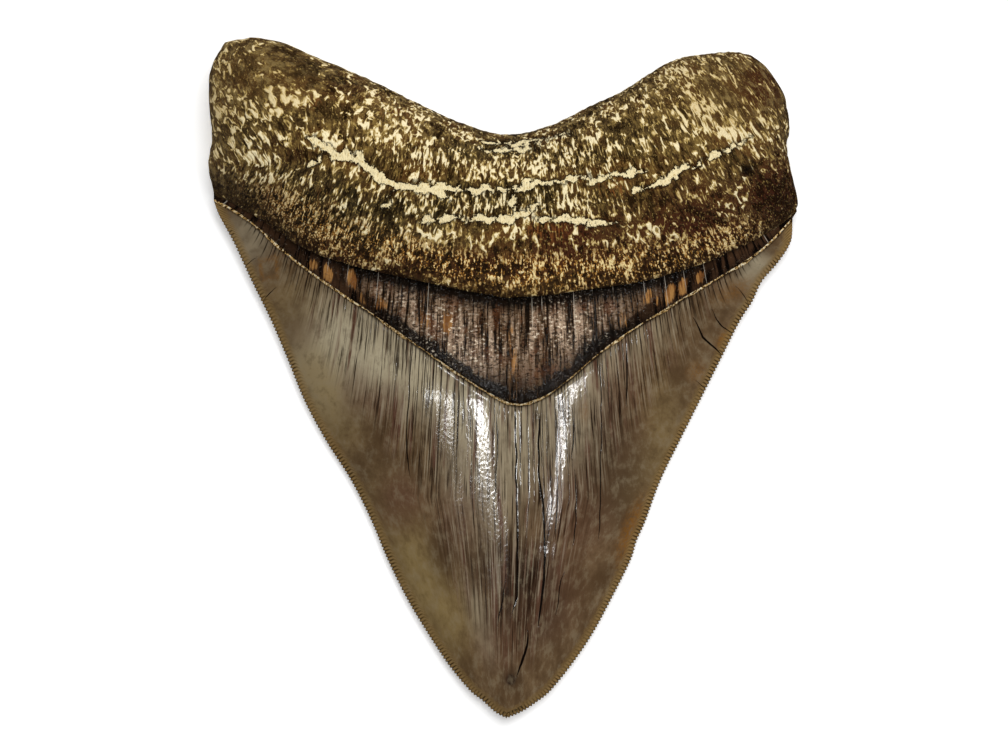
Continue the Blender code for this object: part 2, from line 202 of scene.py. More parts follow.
def dome_height(plan):
    """Lingual face of crown and neck: rounded across every level, and rising to the root."""
    x, y = plan[..., 0], plan[..., 1]
    left = np.interp(y, left_edge.line[:, 1], left_edge.line[:, 0])
    right = np.interp(y, right_edge.line[:, 1], right_edge.line[:, 0])
    off_centre = np.clip(np.abs(2 * x - left - right) / (right - left), 0, 1)
    climb = np.clip((y - TIP[1]) / (CROWN_BASE_Y - TIP[1]), 0, 1)**CROWN_CLIMB
    climb += NECK_CLIMB * (1 - np.exp(-np.clip(y - CROWN_BASE_Y, 0, None) / NECK_EASE))
    return (CROWN_BASE_HEIGHT - SHOULDER_HEIGHT) * climb * (1 - off_centre**CROWN_ROUND)


def ledge_height(u):
    """Height of the root's lower edge on the lingual face."""
    dome = dome_height(root_ledge((u + 1) / 2))
    return SHOULDER_HEIGHT + LEDGE_DROP * (1 - u**STEP_SQUARENESS) + dome


def root_crest(u):
    """Height of the root's swelling, from end to end."""
    rise = CREST_HEIGHT - SIDE_HEIGHT
    return SIDE_HEIGHT + rise * (1 - CREST_SAG * u**2) * np.sqrt(1 - u**END_ROUND)


def root_grain(x, y):
    """Across-fibre coordinate of the root: fanning out to the sides, laid over in the left lobe."""
    fan = x * np.exp(FAN_RATE * (y - FAN_Y))
    in_lobe = 1 / (1 + np.exp((x - LOBE_X) / LOBE_BLEND))
    return fan + LOBE_LEAN * in_lobe * np.clip(y - LEAN_FROM, 0, LEAN_OVER)


def root_rows():
    """Upper face of the root, from its ledge to the rim at the top."""
    plan = patch(root_ledge, root_top, left_end, right_end, root_t, share)
    t = root_t[:, None]
    u = across[None, :]
    rim = root_rim_height(t, u)
    swell = np.sin(np.clip(t / SWELL, 0, 1) * math.pi / 2)
    lip = ledge_height(u)
    height = rim + (lip + (root_crest(u) - lip) * swell - rim) * np.sqrt(1 - t**BACK_ROUND)
    x, y = plan[..., 0], plan[..., 1]
    grain = root_grain(x, y)
    away = (1 - u**RELIEF_RUN_OUT) * (1 - t**RELIEF_RUN_OUT)
    pits = np.clip(grainy(grain, y, *ROOT_PITS[1:]) - PIT_LEVEL, 0, 1)
    relief = away * relief_of(x, y, *ROOT_LUMPS) + relief_of(grain, y, ROOT_GROOVES)
    return pushed(lifted(plan, height), relief - ROOT_PITS[0] * pits)


# Cream veins of mineral fill, and patches of colour and wear, all listed one by one. A patch has
# its centre, half sizes and strength, below 0 where it takes away, and its turn in degrees if any.
VEINS = [
    [(-36.2, 44.6), (-33.4, 43.4), (-30.7, 41.4), (-26.5, 40.3), (-22.7, 37), (-18.1, 35),
     (-16.6, 35.3), (-12.3, 34.6), (-9.8, 32.3)],
    [(-13, 35.9), (-9.4, 35.1), (-4.8, 34.6), (-0.7, 34.8), (0.3, 34.2), (3.5, 35.3), (7.9, 35.9),
     (11.5, 36.7), (13.8, 37), (16.2, 36.5), (18.7, 36.9), (21.6, 37.4), (23.7, 38), (25.9, 38.6)],
    [(24, 34.8), (25.9, 35.1), (29.9, 36.5), (31.8, 38.8), (33.9, 39.1), (37.1, 40.5), (38.9, 41.4),
     (40.4, 42.2), (43, 43.1), (45.9, 45.4)],
    [(-15.9, 28.3), (-11.9, 29.4), (-9.8, 29.6), (-6.7, 29.1), (-3.7, 29.6), (-0.7, 29.3),
     (1.2, 29.3), (3.1, 30.2), (4.3, 30.6), (6.7, 31.7)],
    [(5.6, 29.6), (8.6, 29.1), (11.1, 29.4), (13.6, 28.9), (18, 28.7), (21.9, 28.7)],
    [(-4.5, 42.6), (-2.2, 42.4), (0.3, 42.2), (3.1, 42.6), (6, 42.9)],
    [(-4.5, 44.5), (-0.7, 43.7), (3.5, 43.5), (8.3, 44.3), (11.9, 45.8)],
    [(-33, 42), (-34.5, 40.3), (-36.2, 38)],
    [(-19.8, 34.6), (-21.2, 32.2), (-22.6, 29.8)],
    [(0.7, 34.2), (1.6, 32.7), (2.6, 30.8)],
]
VEIN_WIDTHS = [1.5, 1, 1, 0.95, 0.8, 0.5, 0.4, 0.7, 0.7, 0.9]
ROOT_PATCHES = {
    "pale": [(-45.9, 47.6, 9, 6, 0.6, 10), (-22.1, 47.1, 4.6, 3.8, 0.8), (-46, 34, 8, 4, -0.7, -25),
        (-42, 39, 5, 2.5, 0.5), (-0.7, 32.1, 20.5, 2.7, 0.35), (41.5, 47.5, 5.3, 4.2, 0.4),
        (30, 46, 12, 4.6, 0.4, 15), (-52.5, 48, 3, 6, -0.3), (-52, 57.6, 2.3, 4.8, 0.2),
        (51, 49, 2.3, 4.9, 0.4), (-34, 57.6, 3, 1.6, 1, -20), (-48.2, 61.9, 7.6, 1.3, 0.2),
        (25.9, 52.8, 9.5, 2.3, 0.2, 25), (10.7, 41.4, 11.4, 3, 0.25), (-4.5, 41.4, 11.4, 2.7, 0.25),
        (-14, 49.8, 5.7, 2.3, 0.5, -20), (-31.4, 44.3, 4.6, 2.3, 0.7), (-12.1, 25.8, 6, 2, 0.4),
        (-38.7, 57, 11.8, 4.2, -1), (47.8, 55.1, 4.2, 4.9, -0.6), (51, 35.7, 4.9, 5.7, -1.4),
        (35.4, 31, 9.5, 4.9, -0.7), (25.9, 32.7, 4.9, 2.7, -0.6), (-23.5, 32.9, 6.8, 4.2, -0.4),
        (-37, 29, 9, 3.5, -0.6, -30), (-14, 38, 7.6, 1.9, -0.7), (4, 22.5, 22, 3.6, -0.7),
        (22.1, 41.4, 7.6, 1.9, -0.5, 10), (46, 54, 8, 5, -0.3)],
    "ruddy": [(48.2, 55.1, 4.6, 5.7, 1), (51, 35.7, 6.1, 6.5, 1.2), (27.8, 26.2, 20.9, 4.9, 0.8),
        (-0.7, 20.9, 24.7, 3, 0.9), (10.7, 26.2, 6.8, 3.8, 0.8), (37.3, 31.9, 11.4, 6.5, 0.8),
        (-31.1, 23.4, 11.4, 3, 0.5, -10), (-29.2, 54.7, 4.6, 2.7, 0.4), (-51, 54.3, 3.8, 1.9, 0.4),
        (-40.6, 42.4, 5.7, 3, 0.4)],
    "olive": [(-0.7, 32.7, 21.3, 4.2, 1), (-31.1, 32.9, 15.2, 5.7, 1, -15),
        (18.3, 43.3, 17.1, 4.6, 0.6, 10), (-4.5, 41.4, 11.4, 4.6, 0.7), (-33, 58.1, 4.6, 3, 0.7),
        (-12.1, 26.2, 7.6, 4.2, 0.6), (-44.4, 47.1, 11.4, 5.7, 0.4)],
    "rust": [(20.2, 35.3, 3, 2.3, 1), (7.9, 27, 4.6, 2.3, 1), (-33, 32.9, 3, 3, 0.5),
        (-20.6, 49.4, 2.7, 1.9, 0.6), (5, 40.5, 1.5, 2.7, 0.6), (-35.2, 51.3, 1.9, 1.5, 0.6),
        (-43.4, 33.8, 2.3, 3.8, 0.5), (-4.5, 30.4, 2.3, 1.5, 0.6),
        (-29.2, 22.8, 9.5, 1.5, 0.5, -10)],
    # Painted shade: small dark spots where pits are, in place of the shade inside them.
    "soot": [(45.2, 39, 1.5, 1.2, 1), (-10.2, 23.2, 0.3, 0.35, 1), (6.4, 42.4, 0.5, 0.5, 1)],
    "dull": [(-47, 57, 13, 8, 1, -20), (42, 54, 15, 8.5, 1), (-53.5, 46, 4, 12, 0.8)],
    "reedy": [(-1, 32, 24, 3.2, 1), (-31, 31, 12, 5, 0.7, -20), (-14, 40, 9, 4, 0.7),
        (14, 41, 12, 5, 0.6), (10, 23.5, 26, 4, 0.3), (-45, 36, 6, 4, 0.4)],
    "gritty": [(-21, 25, 9, 2.6, 1, -18), (-9, 21, 9, 2.6, 1, -10), (7, 19.6, 12, 3.2, 1),
        (24, 21.5, 11, 3.4, 1, 8), (39, 25.5, 9, 2.8, 0.8, 20), (-34.5, 28.5, 12, 3.4, 1, -33)],
}


def linear(code):
    """Turn an sRGB hex colour into a linear one."""
    parts = [int(code[i:i + 2], 16) / 255 for i in (1, 3, 5)]
    return (*[c / 12.92 if c <= 0.04045 else ((c + 0.055) / 1.055)**2.4 for c in parts], 1.0)


def node(tree, kind, *feeds, output=0, named=None, **settings):
    """Add a shader node. Its kind may be followed by its operation, as in "Math ADD". Feeds fill
    its inputs: a number, a colour or another node's output."""
    kind, _, operation = kind.partition(" ")
    made = tree.nodes.new("ShaderNode" + kind)
    if operation:
        made.operation = operation
    for name, value in settings.items():
        setattr(made, name, value)
    for key, feed in [*enumerate(feeds), *(named or {}).items()]:
        if isinstance(feed, bpy.types.NodeSocket):
            tree.links.new(feed, made.inputs[key])
        elif feed is not None:
            made.inputs[key].default_value = feed
    return made.outputs[output]


def begin(name, attributes, patterns):
    """Start a material. Return it, what adds a node to it, what the mesh tells it, and its noises.
    A noise has its size in mm across the fibres, along them and upwards, then its detail and
    roughness, and its bend if any."""
    material = bpy.data.materials.new(name)
    material.use_nodes = True
    add = functools.partial(node, material.node_tree)
    marks = {key: add("Attribute", output=2, attribute_name=key) for key in attributes.split()}
    marks["grain"] = add("Attribute", output=1, attribute_name="grain")
    noises = []
    for size, detail, rough, *bend in patterns:
        place = add("VectorMath MULTIPLY", marks["grain"], tuple(1 / c for c in size))
        noises.append(add("TexNoise", place, None, 1.0, detail, rough,
                          named={"Distortion": sum(bend)}))
    return material, add, marks, noises


def summed(add, total, *terms):
    """Add several parts to a value, each times its weight."""
    for part, weight in terms:
        total = add("Math MULTIPLY_ADD", part, weight, total)
    return total


def layered(add, paint, layers):
    """Lay colours over the paint, each through the product of its masks."""
    for colour, *masks in layers:
        mask = functools.reduce(functools.partial(add, "Math MULTIPLY"), masks)
        paint = add("Mix", output=2, data_type="RGBA",
                    named={0: mask, 6: paint, 7: linear(colour)})
    return paint


def finish(material, paint, bumps, numbers):
    """Give the shader its paint, its bumps and its own numbers."""
    shader = material.node_tree.nodes["Principled BSDF"]
    material.node_tree.links.new(paint, shader.inputs["Base Color"])
    material.node_tree.links.new(bumps, shader.inputs["Normal"])
    for name, value in numbers.items():
        shader.inputs[name].default_value = value


# Dull bone, darkened by the minerals in it, with pale sediment left in its pits and grooves and a
# gritty crust along the ledge. The specks are drawn coarser than real grit, so that they show.
bone, add, marks, (island, reed, speck, mottle, clump) = begin(
    "root bone", "pale reedy gritty ruddy olive rust soot dull vein rim ledge",
    (((1.0, 1.9, 1.6), 2.5, 0.55, 0.7), ((0.36, 2.2, 1.4), 2.0, 0.5),
     ((0.30, 0.60, 0.45), 2.5, 0.55), ((1.8, 2.4, 2.0), 5.0, 0.7), ((6.0, 6.0, 6.0), 2.0, 0.5)))
dull, gritty = marks["dull"], marks["gritty"]
reed_tone = add("Math SUBTRACT", reed, 0.5)
near_rim = add("MapRange", marks["rim"], 6.0, 1.0)
near_ledge = add("MapRange", marks["ledge"], 3.4, 0.6)
near_vein = add("MapRange", marks["vein"], 3.0, 0.5)
reediness = add("MapRange", marks["reedy"], 0.0, 1.0, 0.1, 1.0)
level = summed(add, island, (reed_tone, reediness), (clump, 0.45), (marks["pale"], 0.11),
               (near_rim, -0.02), (near_ledge, -0.07), (near_vein, -0.04), (gritty, -0.03))
tone = add("Math MULTIPLY_ADD", reed_tone, 0.4, mottle)
grit = summed(add, add("Math MULTIPLY", speck, 0.62), (mottle, 0.4), (reed, 0.6), (clump, 0.2),
              (island, 0.15))
rough_vein = summed(add, marks["vein"], (mottle, -3.0), (speck, -0.8))
in_vein = add("MapRange", rough_vein, -1.86, -1.94)
paint = layered(add, linear("#2b1b08"), (
    ("#523d1f", add("MapRange", tone, 0.36, 0.48)),
    ("#7b6232", add("MapRange", tone, 0.51, 0.62)),
    ("#643f1a", add("MapRange", clump, 0.48, 0.62, 0.0, 0.6)),
    ("#2b2b1a", marks["olive"], 0.5),
    ("#5a4323", dull, 0.5),
    ("#42200f", marks["ruddy"], 0.75),
    ("#7e4b22", add("MapRange", reed, 0.46, 0.60, 0.0, 0.8), marks["rust"]),
    ("#1a0e02", add("MapRange", level, 0.63, 0.56), add("MapRange", dull, 0.0, 1.0, 0.8, 0.3)),
    # Darker along the ledge: partly the bone's own darker colour, partly painted shade under the
    # swell.
    ("#2a1606", near_ledge, 0.6),
    ("#8c7648", add("MapRange", mottle, 0.52, 0.62, 0.0, 0.7),
     add("Math MAXIMUM", near_rim, dull)),
    ("#a0864a", add("MapRange", level, 0.762, 0.782)),
    ("#9c8147", add("MapRange", speck, 0.60, 0.66, 0.0, 0.7)),
    ("#cfb57c", add("MapRange", level, 0.80, 0.82)),
    ("#fbebbe", add("MapRange", level, 0.835, 0.86), add("MapRange", dull, 0.0, 1.0, 1.0, 0.25)),
    ("#b07a30", add("MapRange", grit, 1.015, 1.035), gritty),
    ("#f5dd9f", add("MapRange", grit, 1.07, 1.085), gritty),
    # Painted shadow: a dark rim round each vein, in place of the shade beside its raised edge.
    ("#160c03", add("MapRange", rough_vein, -1.35, -1.75, 0.0, 0.8)),
    ("#f3e2b2", in_vein),
    ("#cdb276", in_vein, add("MapRange", speck, 0.58, 0.66)),
    # Painted shade inside the pits.
    ("#0e0803", marks["soot"])))
height = summed(add, level, (tone, 0.5), (in_vein, 0.2))
finish(bone, paint, add("Bump", 0.7, 0.0012, None, height),
       {"Roughness": 0.55, "IOR": 1.5, "Specular IOR Level": 0.15})


# ======================================== bourlette
# Bare, dense dentine between root and enamel, a dark chevron band. It lies a little lower than
# both: the enamel ends on it in a thin raised lip, and the root's edge hangs over it as a ledge.
BOURLETTE_ROWS = 34
ENAMEL_LIP = 0.55
LIP_WIDTH = 0.35
NECK_BULGE = 0.5
NECK_RELIEF = [(0.12, 1.1, 5.0, 5.7), (0.05, 0.7, 0.9, 8.2)]
bourlette_t = np.linspace(0, 1, BOURLETTE_ROWS)


def shifted(curve, offset):
    """Return the curve moved along Y by offset(across)."""
    def at(u):
        u = np.asarray(u, dtype=float)
        return curve(u) + np.stack([np.zeros_like(u), offset(2 * u - 1)], axis=-1)
    return at


def between(a, b):
    """Return the straight line from a to b as a curve."""
    def at(t):
        t = np.asarray(t, dtype=float)[..., None]
        return (1 - t) * np.asarray(a) + t * np.asarray(b)
    return at


def bourlette_rows():
    """Upper face of the neck band, from the enamel's foot to under the root's ledge."""
    foot = shifted(enamel_line, lambda u: LIP_WIDTH + 0 * u)
    head = shifted(root_ledge, lambda u: LEDGE_OVERHANG * (1 - 2 * np.abs(u)**3))
    plan = patch(foot, head, between(foot(0.0), head(0.0)), between(foot(1.0), head(1.0)),
                 bourlette_t, share)
    t = bourlette_t[:, None]
    u = across[None, :]
    step = ENAMEL_LIP * (1 - u**STEP_SQUARENESS) * (1 - t)
    height = SHOULDER_HEIGHT + dome_height(plan) - step
    bulge = NECK_BULGE * np.sin(t * math.pi)
    relief = bulge + relief_of(plan[..., 0], plan[..., 1], *NECK_RELIEF)
    return pushed(lifted(plan, height), np.clip(1 - u**2, 0, 1) * relief)


# Patches of colour, listed like the root's.
NECK_PATCHES = {
    "bright": [(-8.2, 8, 9.5, 5.2, 1.1, -20), (10.7, 9.6, 9.5, 4.6, 1, 15),
        (-19.7, 14.8, 4.6, 1.9, 0.6, -20)],
    "amber": [(-32.8, 19.8, 0.9, 1.7, 1, 10), (-28, 18.8, 0.9, 2, 0.7, 10),
        (-35.8, 21.5, 1.1, 1.1, 0.6), (-23.1, 14.1, 1.5, 1.5, 0.5), (-26.1, 15, 0.9, 1.4, 0.4),
        (-10.4, 10.5, 0.9, 2.3, 0.8), (26.9, 15.4, 0.7, 1.5, 0.7, -10),
        (31.1, 16.2, 0.9, 1.9, 1, -10), (33.4, 17.3, 0.9, 1.7, 1, -10),
        (36.8, 19.2, 0.9, 1.1, 1, -10), (28.6, 14.6, 0.5, 1.3, 0.5, -10), (1.8, 2.5, 1.3, 8, 0.38),
        (-14.6, 11.2, 1.4, 2.3, 0.4), (22, 11, 1.2, 2, 0.3)],
    "black": [(34.8, 17.9, 0.6, 2.3, 1, -5), (38.3, 19.4, 0.8, 2, 1, -15),
        (32.3, 16.9, 0.35, 2, 0.9, -5), (-34.3, 20.6, 0.4, 1.6, 0.9, 10),
        (-30, 19.3, 0.5, 2, 0.9, 10), (-31.2, 19.6, 0.25, 1.7, 0.7, 10),
        (16.5, 6.5, 4.5, 1.5, 0.8, 35), (-14.5, 3.5, 4, 1.6, 0.8, -35), (1, -1.5, 6, 2.4, 0.8)],
    "umber": [(-32, 18.8, 9, 2.6, 0.8, -32), (32, 16, 10, 2.2, 0.5, 26),
        (46, 25.6, 11, 2.6, 0.9, 35), (-47, 31, 9, 2.6, 0.9, -38)],
}


def in_strips(add, rising):
    """Cut a rising value into strips one unit wide, with a line down each, set off to one side by
    chance. Return how far a point is from the line, and its strip's own chance."""
    chance = add("TexWhiteNoise", None, add("Math FLOOR", rising), noise_dimensions="1D")
    line = add("Math MULTIPLY_ADD", chance, 0.6, 0.2)
    aside = add("Math SUBTRACT", add("Math FRACT", rising), line)
    return add("Math ABSOLUTE", aside), chance


# Dense and semi-gloss. Minerals have blackened it along the enamel and left amber windows at both
# ends and a rusty streak in the middle. The dark band under the root's ledge is painted shadow.
dentine, add, marks, (band, streak, crinkle, clump, ripple) = begin(
    "bourlette dentine", "bright amber black umber lip ledge",
    (((0.9, 16.0, 6.0), 2.0, 0.5), ((0.36, 4.0, 3.0), 3.0, 0.6), ((0.75, 0.42, 0.6), 4.0, 0.6),
     ((2.6, 4.0, 4.0), 2.0, 0.5), ((0.5, 0.36, 0.4), 1.0, 0.5)))
tone = add("Math MULTIPLY_ADD", band, 0.55, add("Math MULTIPLY", streak, 0.45))
at_lip = add("MapRange", summed(add, marks["lip"], (clump, 4.0), (crinkle, 3.0)), 0.9, 1.3)
ledge_shadow = add("MapRange", add("Math MULTIPLY_ADD", streak, -3.0, marks["ledge"]), -4.8, -2.9)
window = add("MapRange", add("Math MULTIPLY_ADD", streak, 1.5, marks["amber"]), 1.06, 1.28)
lit = add("MapRange", marks["bright"], 0.0, 1.0, 0.25, 1.0)
glint = add("Math MULTIPLY", marks["bright"], add("MapRange", tone, 0.44, 0.52))

# Pale scratches, hanging down from the ledge, each in its own narrow strip of the grain.
SCRATCHES_PER_MM = 0.45
SCRATCH_REACH = 14.0
across_fibres = add("SeparateXYZ", marks["grain"])
aside, chance = in_strips(add, add("Math MULTIPLY", across_fibres, SCRATCHES_PER_MM))
reach = summed(add, marks["ledge"], (add("Math POWER", chance, 6.0), SCRATCH_REACH), (ripple, 2.0))
paint = layered(add, linear("#1c120a"), (
    ("#59432f", add("MapRange", tone, 0.44, 0.475)),
    ("#ac937a", add("MapRange", tone, 0.495, 0.56), lit),
    ("#6a3f24", add("MapRange", clump, 0.52, 0.66, 0.0, 0.5)),
    ("#120b06", add("MapRange", crinkle, 0.46, 0.40, 0.0, 0.85)),
    # Painted shadow under the root's overhanging ledge.
    ("#0c0806", ledge_shadow, 0.95),
    ("#0c0806", at_lip, 0.93),
    ("#4a3322", add("MapRange", tone, 0.42, 0.52), marks["umber"]),
    ("#774c27", window),
    ("#a97b45", add("MapRange", tone, 0.48, 0.56), window),
    ("#0b0705", marks["black"]),
    # Painted glints: pale specks on the crinkles, brightest in the bright patches.
    ("#6b5f50", add("MapRange", crinkle, 0.63, 0.67, 0.0, 0.6)),
    ("#efe0c6", add("MapRange", crinkle, 0.58, 0.64), glint),
    ("#cfc5b4", add("MapRange", aside, 0.035, 0.01, 0.0, 0.6), add("MapRange", reach, 1.2, 2.6))))
finish(dentine, paint, add("Bump", 1.0, 0.00015, None, ripple),
       {"Roughness": 0.15, "IOR": 1.5, "Specular IOR Level": 0.3})


# ======================================== crown
# The blade: a skin of enameloid over dentine, domed on this side, with fine serrations along both
# cutting edges. The enameloid is split by long drying cracks that run down from the neck.
EDGE_LOW = 1.6  # cutting edge above the ground where it is lowest ...
EDGE_LOW_POINT = 0.45  # ... at this share of its length ...
EDGE_TIP_RISE = 1.2  # ... and how much it rises to the tip ...
EDGE_SHOULDER_RISE = 1.8  # ... and to the shoulder
BLADE_BEVEL = 1.3  # width of the strip that carries the serrations ...
BEVEL_RUN_OUT = 12  # ... narrowing to nothing in one part in this many of the edge
TIP_BEVEL = 1.7
BODY_MARGIN = 6  # relief fades out over this width along the edges
CROWN_SWELLS = (0.22, 9.0, 16.0, 2.2)
CROWN_FIBRES = [(0.05, 1.6, 14.0, 6.6), (0.025, 0.8, 9.0, 7.7)]
ENAMEL_BEAD = 0.16  # how far the enamel's last line stands up ...
BEAD_WIDTH = 0.45  # ... within this distance of it ...
BEAD_KNOBS = (0.6, 0.8, 0.8, 1.1)  # ... and how knobbly it is
TIP_RUN_OUT = 4  # relief sets in within one part in this many of the crown's length ...
SIDE_RUN_OUT = 14  # ... and of its half width
FIBRE_TURN_Y = -22.0  # above this level the fibres fan out ...
FIBRE_FAN = 0.0040  # ... this fast ...
FIBRE_GATHER = 0.014  # ... and below it they draw together this fast
FIBRE_EDGE_TURN = 0.12  # the edges turn them this much more ...
FIBRE_EDGE_REACH = 6  # ... over about this distance


def run_out(t):
    """Full all along the edge, and down to nothing at its upper end."""
    return np.clip((1 - t) * BEVEL_RUN_OUT, 0, 1)


def inset(edge, width, inward):
    """Return the edge moved in by width, running out to nothing at its upper end."""
    nearby = 0.004

    def at(t):
        t = np.asarray(t, dtype=float)
        ahead = edge(np.minimum(t + nearby, 1)) - edge(np.maximum(t - nearby, 0))
        ahead = ahead / np.linalg.norm(ahead, axis=-1, keepdims=True)
        normal = np.stack([-ahead[..., 1], ahead[..., 0]], axis=-1) * inward
        return edge(t) + normal * (width * run_out(t))[..., None]
    return at


def edge_height(t):
    """Cutting edge above the ground at share t of its length, lowest near the middle."""
    t = np.asarray(t, dtype=float)
    to_tip = np.clip(1 - t / EDGE_LOW_POINT, 0, 1)
    to_shoulder = np.clip((t - EDGE_LOW_POINT) / (1 - EDGE_LOW_POINT), 0, 1)
    return EDGE_LOW + EDGE_TIP_RISE * to_tip**2 + EDGE_SHOULDER_RISE * to_shoulder**2


def edge_level(y):
    """Height of the cutting edges at each level of the crown."""
    return np.interp(y, left_edge.line[:, 1], edge_height(left_edge.share))


def distance(plan, curve):
    """Distance of every plan point from the curve. Every fourth of its points is near enough."""
    flat = plan.reshape(-1, 2)
    line = curve.line[::4]
    a, b = line[None, :-1], line[None, 1:]
    out = np.empty(len(flat))
    lot = 4000
    for i in range(0, len(flat), lot):
        part = flat[i:i + lot, None, :]
        along = ((part - a) * (b - a)).sum(-1) / ((b - a)**2).sum(-1)
        near = a + np.clip(along, 0, 1)[..., None] * (b - a)
        out[i:i + lot] = np.sqrt(((part - near)**2).sum(-1).min(axis=1))
    return out.reshape(plan.shape[:-1])


def crown_grain(x, y, from_edge):
    """Across-fibre coordinate of the crown: fanning out above, drawn together near the tip."""
    above = np.clip(y - FIBRE_TURN_Y, 0, None)
    below = np.clip(FIBRE_TURN_Y - y, 0, None)
    turned = FIBRE_EDGE_TURN * np.exp(-from_edge / FIBRE_EDGE_REACH)
    return x * np.exp(FIBRE_FAN * above + FIBRE_GATHER * below - turned)


def blade_plan(end, along, across):
    """Plan of the blade within its bevels, from a point just above the tip to the line end."""
    tip = np.array(TIP) + (0, TIP_BEVEL)
    return patch(between(tip, tip), end, inset(left_edge, BLADE_BEVEL, -1),
                 inset(right_edge, BLADE_BEVEL, 1), along, across)


def crown_rows():
    """Upper face of the crown, up to the enamel line."""
    plan = blade_plan(enamel_line, crown_t, share)
    t = crown_t[:, None]
    u = across[None, :]
    x, y = plan[..., 0], plan[..., 1]
    from_edge = np.minimum(distance(plan, left_edge), distance(plan, right_edge))
    grain = crown_grain(x, y, from_edge)
    body = np.clip(from_edge / BODY_MARGIN, 0, 1) * np.clip(t * TIP_RUN_OUT, 0, 1)
    relief = body * (relief_of(x, y, CROWN_SWELLS) + relief_of(grain, y, *CROWN_FIBRES))
    bead = ENAMEL_BEAD * np.exp(-(distance(plan, enamel_line) / BEAD_WIDTH)**2)
    relief += bead * (1 + relief_of(x, y, BEAD_KNOBS))
    relief *= np.clip((1 - np.abs(u)) * SIDE_RUN_OUT, 0, 1)
    return pushed(lifted(plan, edge_level(y) + dome_height(plan)), relief)


# Open drying cracks with their half widths, and patches of stain, all listed.
CRACKS = [
    [(2.2, -5.3), (2.4, -17.5), (2.6, -30), (2.6, -40.9), (1.6, -44.1)],
    [(-1.2, -6.3), (-1.2, -15.6), (-1.4, -22.4)],
    [(6.6, -6.7), (6.6, -17.5), (7.7, -27), (7.7, -34.2), (7.5, -37.8), (7.1, -42.2), (6.4, -46.5)],
    [(4.5, -47.3), (4.3, -50.2), (3.5, -53.6), (2.4, -56)],
    [(9.8, -6.3), (10, -19.4), (9.8, -30)],
    [(12.8, -5.3), (13, -11.8), (12.8, -14.8)],
    [(13.4, -16.9), (13.6, -23.2), (13.4, -30), (13, -31.4)],
    [(11.5, -36.1), (10.7, -37.8), (10, -44.5)],
    [(18.1, 3.2), (18.3, -13.7), (18, -30)],
    [(22.9, 6.7), (23.1, 0.6), (22.9, -4.6)],
    [(-17, 4.8), (-17.8, -4.2), (-18.3, -11.2), (-17.6, -17.9)],
    [(0.1, -37.8), (-0.1, -41.4), (-0.7, -44.1), (-1, -46.5)],
    [(-48.7, 21.9), (-47.2, 23)],
    [(-45.5, 15.2), (-44.4, 16.3), (-43.2, 17.3)],
    [(44.4, 17.3), (45.5, 16), (46.6, 14.6)],
    [(39.5, 13), (40.2, 11.6), (41.5, 10.1), (43.4, 8.9)],
    [(35.9, 11.4), (37.5, 8), (38.5, 7.2), (40.2, 5.9), (41.7, 4.6)],
    [(36.8, -0.4), (38.1, -1.5)],
]
CRACK_WIDTHS = [0.17, 0.12, 0.2, 0.22, 0.11, 0.13, 0.11, 0.1, 0.1, 0.16, 0.11, 0.12, 0.13, 0.14,
                0.12, 0.15, 0.19, 0.12]
CROWN_PATCHES = {
    # Silver patches: partly the enameloid's own silvery tone, partly painted sheen, as the
    # highlight on the right shoulder.
    "silver": [(-20.5, 4.5, 17, 7.5, 0.9, -34), (-3, -10, 9, 17, 0.65), (12.6, -6.9, 10, 12, 0.5),
        (-34, 2, 7.5, 9, 0.8, 20), (22, 6, 12, 4, 0.3, 34), (-4.5, -46, 2.3, 7.6, 0.4, 15),
        (47.6, 21, 3, 3.6, 0.7, -40), (-48, 27, 5, 6, 0.5, -40)],
    "tan": [(-35, -3, 6.5, 12, 0.7, 25), (-13, -42.2, 4.8, 11.4, 1, 30),
        (-19.7, -27, 5.7, 9.5, 0.6, 30), (26, -11.8, 7.6, 11.4, 0.6, -25),
        (-40, 14, 6, 6, 0.3, -40)],
    "mauve": [(-38.7, 8.7, 3, 3, 0.25), (-22.5, -4.2, 3.5, 3.5, 0.45),
        (-19.7, -23.2, 4.9, 5.7, 0.7), (6.9, -40.3, 7.6, 9.5, 0.6), (22.1, -8, 5.7, 11.4, 0.6),
        (14.4, -24.2, 6.7, 9.5, 0.5), (-9, -26, 5, 7, 0.4), (-0.7, -49.8, 5.7, 5.7, 0.4),
        (-28, -2, 3, 5, 0.4)],
    "dusk": [(0.3, -34.6, 7, 5.5, 0.8), (6.5, -42, 6, 9, 0.5), (0, -44, 4, 5, 0.3),
        (1.6, -56.6, 2.3, 2.3, 0.6), (20.4, -15.4, 7, 11.4, 0.6), (1.4, -56.8, 0.8, 0.9, 1.6),
        (0.4, -39.9, 0.5, 0.8, 1.4), (-11.8, -32.2, 3, 6, 0.4)],
    "stain": [(-46, 20.9, 0.4, 2, 0.7, 10), (-42.8, 21.3, 0.4, 2.2, 0.6, 5),
        (-44.4, 22.8, 2.2, 0.4, 0.5, 15), (-44.3, 19.2, 1.6, 0.4, 0.4, 20),
        (24.4, -28.9, 2, 6.5, 0.9, -20), (-32.3, -14.5, 1.6, 5.5, 0.7, 27),
        (42.1, 7.6, 1.3, 1.9, 1.2, -30), (36.5, 1.5, 1.8, 1.8, 0.5), (44, 17, 5, 1.6, 0.4, 30),
        (15, -6, 1, 2.4, 0.3)],
}


FIBRE_LEVELS = [-60, -45, -30, -10, 5, 20]
FIBRE_MARGINS = [4, 7, 9, 8, 5, 4]  # smooth margin along the edges at those levels
FIBRE_FADE = 6
FIBRE_TIP_Y = -62  # the tip is smooth up to here ...
FIBRE_TIP_FADE = 12  # ... and the fibres come in over this length
SPLIT_X = -1  # hairline cracks keep to this middle line ...
SPLIT_REACH = 26  # ... within this distance ...
SPLIT_FADE = 12  # ... coming in over this width ...
SPLIT_LEAST = 0.12  # ... and are this short outside


